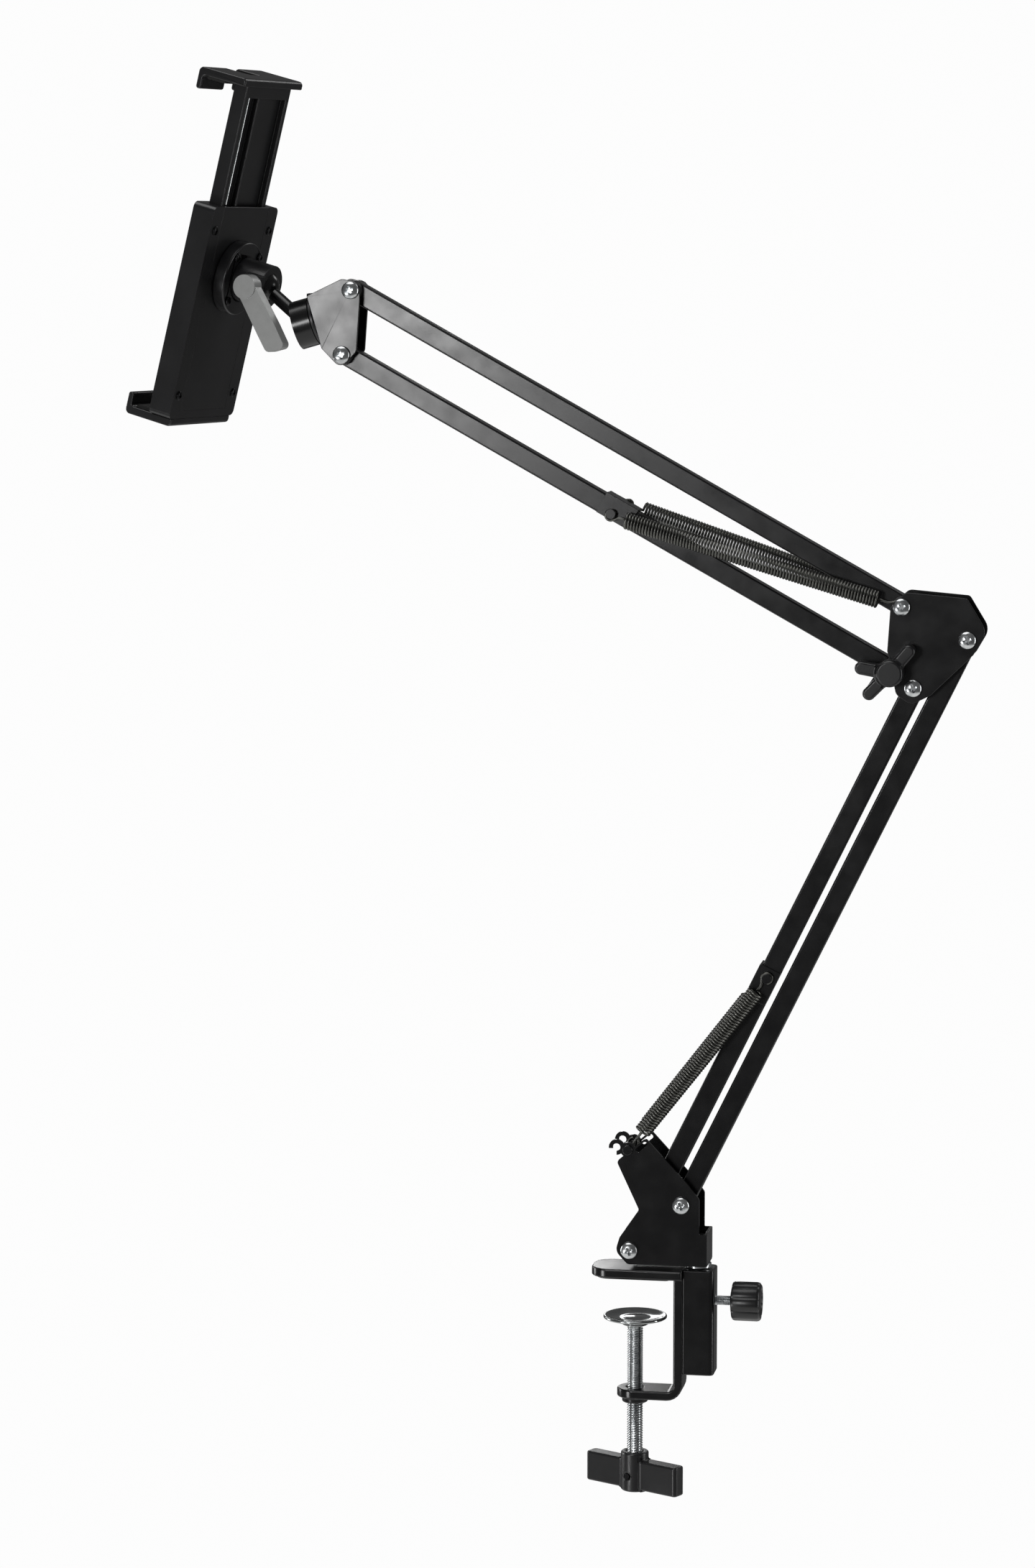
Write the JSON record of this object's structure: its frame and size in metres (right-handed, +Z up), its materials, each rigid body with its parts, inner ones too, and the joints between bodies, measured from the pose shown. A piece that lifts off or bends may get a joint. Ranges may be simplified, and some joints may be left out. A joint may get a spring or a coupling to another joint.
{
  "type": "articulated desk arm holder",
  "caption": "Desk-clamped, spring-balanced twin-bar arm with a parallel-link elbow, a ball-jointed head and a sprung slide-out holder for a tablet",
  "frame": {"origin": "On the clamp screw's axis, at the underside of the clamp's upper rubber pad, where the desk top's upper face meets it.", "axes": "+Z is up; +X runs from the clamp screw towards the clamp's spine and out past the desk edge; +Y runs across the arm, so the arm bends in the XZ plane."},
  "size_m": [0.4289, 0.0754, 0.7095],
  "materials": {
    "powder_black": "satin powder coat",
    "zinc": "bright zinc plate",
    "moulded_black": "fine satin moulding",
    "rubber_black": "soft matt",
    "spring_black": "black oxide wire",
    "nylon_black": "smooth nylon"
  },
  "bodies": {
    "clamp": {"clamp_frame": "powder_black", "jaw_pad": "rubber_black", "clamp_column": "powder_black", "column_bush": "nylon_black"},
    "pad": {"pressure_pad": "zinc"},
    "screw": {"clamp_screw": "zinc", "screw_handle": "moulded_black", "handle_pin": "spring_black"},
    "lock_screw": {"lock_stud": "zinc"},
    "lock_knob": {"lock_knob": "moulded_black"},
    "base": {"base_bracket": "powder_black", "base_post": "zinc", "base_collar": "zinc", "base_spring_studs": "powder_black", "base_bolts": "zinc", "base_nuts": "zinc", "base_spacers": "nylon_black"},
    "lower_rear": {"lower_rear_bar": "powder_black"},
    "lower_front": {"lower_front_bar": "powder_black", "lower_spring_clip": "powder_black"},
    "lower_spring_root": {"lower_spring_near": "spring_black"},
    "lower_spring_tip": {"lower_spring_far": "spring_black"},
    "elbow": {"elbow_near_plate": "powder_black", "elbow_far_plate": "powder_black", "elbow_bolts": "zinc", "elbow_nuts": "zinc", "elbow_spacers": "nylon_black", "elbow_clamp_bolt": "zinc"},
    "elbow_knob": {"elbow_knob": "moulded_black"},
    "upper_bottom": {"upper_bottom_bar": "powder_black", "upper_spring_clip": "powder_black"},
    "upper_top": {"upper_top_bar": "powder_black"},
    "upper_spring_tail": {"upper_spring_near": "spring_black", "upper_spring_far": "spring_black"},
    "head": {"head_bracket": "powder_black", "head_bolts": "zinc", "head_nuts": "zinc", "head_spacers": "nylon_black", "swivel_washer": "moulded_black", "swivel_bolt": "zinc"},
    "knuckle": {"knuckle": "moulded_black"},
    "socket": {"ball_socket": "moulded_black"},
    "lever": {"wing_lever": "powder_black"},
    "holder": {"holder_sleeve": "moulded_black", "sleeve_cover": "moulded_black", "cover_screws": "spring_black", "bottom_jaw": "moulded_black", "bottom_pad": "rubber_black", "turn_ring": "moulded_black", "ring_screws": "spring_black"},
    "slider": {"slider_rail": "moulded_black", "guide_strip": "zinc", "top_jaw": "moulded_black", "top_pad": "rubber_black", "return_springs": "zinc"}
  },
  "joints": [
    {"name": "pad_travel", "type": "slide", "parent": "clamp", "child": "pad", "axis": [0, 0, 1], "range_m": [-0.03, 0.018]},
    {"name": "screw_turn", "type": "hinge", "parent": "pad", "child": "screw", "pos_m": [0, 0, -0.09], "axis": [0, 0, 1], "continuous": true},
    {"name": "lock_travel", "type": "slide", "parent": "clamp", "child": "lock_screw", "axis": [1, 0, 0], "range_m": [0, 0.003]},
    {"name": "lock_turn", "type": "hinge", "parent": "lock_screw", "child": "lock_knob", "pos_m": [0.05, 0, -0.011], "axis": [1, 0, 0], "continuous": true},
    {"name": "base_swivel", "type": "hinge", "parent": "clamp", "child": "base", "pos_m": [0.0319, 0, 0], "axis": [0, 0, 1], "continuous": true},
    {"name": "shoulder", "type": "hinge", "parent": "base", "child": "lower_rear", "pos_m": [0.0244, 0, 0.0388], "axis": [0, 1, 0], "range_deg": [-45, 4]},
    {"name": "front_bar_foot", "type": "hinge", "parent": "base", "child": "lower_front", "pos_m": [-0.0016, 0, 0.015], "axis": [0, 1, 0], "range_deg": [-45, 4]},
    {"name": "elbow_level", "type": "hinge", "parent": "lower_rear", "child": "elbow", "pos_m": [0.16292, 0, 0.32282], "axis": [0, 1, 0], "range_deg": [-4, 45]},
    {"name": "lower_spring_turn", "type": "hinge", "parent": "base", "child": "lower_spring_root", "pos_m": [-0.0025, 0, 0.066], "axis": [0, 1, 0], "range_deg": [-67, 7]},
    {"name": "lower_spring_stretch", "type": "slide", "parent": "lower_spring_root", "child": "lower_spring_tip", "axis": [0.6123, 0, 0.7906], "range_m": [-0.0105, 0.0015], "deforming": ["lower_spring_near", "lower_spring_far"]},
    {"name": "elbow_bend", "type": "hinge", "parent": "elbow", "child": "upper_bottom", "pos_m": [0.12632, 0, 0.30692], "axis": [0, 1, 0], "range_deg": [-70, 40]},
    {"name": "top_bar_foot", "type": "hinge", "parent": "elbow", "child": "upper_top", "pos_m": [0.13093, 0, 0.33842], "axis": [0, 1, 0], "range_deg": [-70, 40]},
    {"name": "head_level", "type": "hinge", "parent": "upper_bottom", "child": "head", "pos_m": [-0.14603, 0, 0.45913], "axis": [0, 1, 0], "range_deg": [-40, 70]},
    {"name": "upper_spring_stretch", "type": "slide", "parent": "upper_bottom", "child": "upper_spring_tail", "axis": [-0.9508, 0, 0.3099], "range_m": [-0.0345, 0.02], "deforming": ["upper_spring_near", "upper_spring_far"]},
    {"name": "knob_turn", "type": "hinge", "parent": "elbow", "child": "elbow_knob", "pos_m": [0.12632, -0.02, 0.30692], "axis": [0, 1, 0], "continuous": true},
    {"name": "head_swivel", "type": "hinge", "parent": "head", "child": "knuckle", "pos_m": [-0.1602, 0, 0.476], "axis": [-0.9613, 0, -0.2756], "range_deg": [-120, 120]},
    {"name": "ball_tilt", "type": "hinge", "parent": "knuckle", "child": "socket", "pos_m": [-0.1886, 0.006, 0.4926], "axis": [0.2756, 0.9613, 0], "range_deg": [-10, 35]},
    {"name": "lever_turn", "type": "hinge", "parent": "socket", "child": "lever", "pos_m": [-0.19181, -0.00869, 0.49234], "axis": [0.2756, 0.9613, 0], "range_deg": [-150, 25]},
    {"name": "holder_spin", "type": "hinge", "parent": "socket", "child": "holder", "pos_m": [-0.1886, 0.006, 0.4926], "axis": [0.9294, -0.2665, -0.2554], "continuous": true},
    {"name": "jaw_travel", "type": "slide", "parent": "holder", "child": "slider", "axis": [0.2456, -0.0704, 0.9668], "range_m": [-0.05, 0.02], "deforming": ["return_springs"]}
  ],
  "couplings": [
    {"joint": "screw_turn", "follows": "pad_travel", "rad_per_m": 5026.5},
    {"joint": "lock_turn", "follows": "lock_travel", "rad_per_m": -7854},
    {"joint": "front_bar_foot", "follows": "shoulder", "ratio": 1},
    {"joint": "elbow_level", "follows": "shoulder", "ratio": -1},
    {"joint": "lower_spring_turn", "follows": "shoulder", "ratio": 1.46},
    {"joint": "lower_spring_stretch", "follows": "shoulder", "m_per_rad": 0.012},
    {"joint": "top_bar_foot", "follows": "elbow_bend", "ratio": 1},
    {"joint": "head_level", "follows": "elbow_bend", "ratio": -1},
    {"joint": "upper_spring_stretch", "follows": "elbow_bend", "m_per_rad": 0.0275}
  ]
}
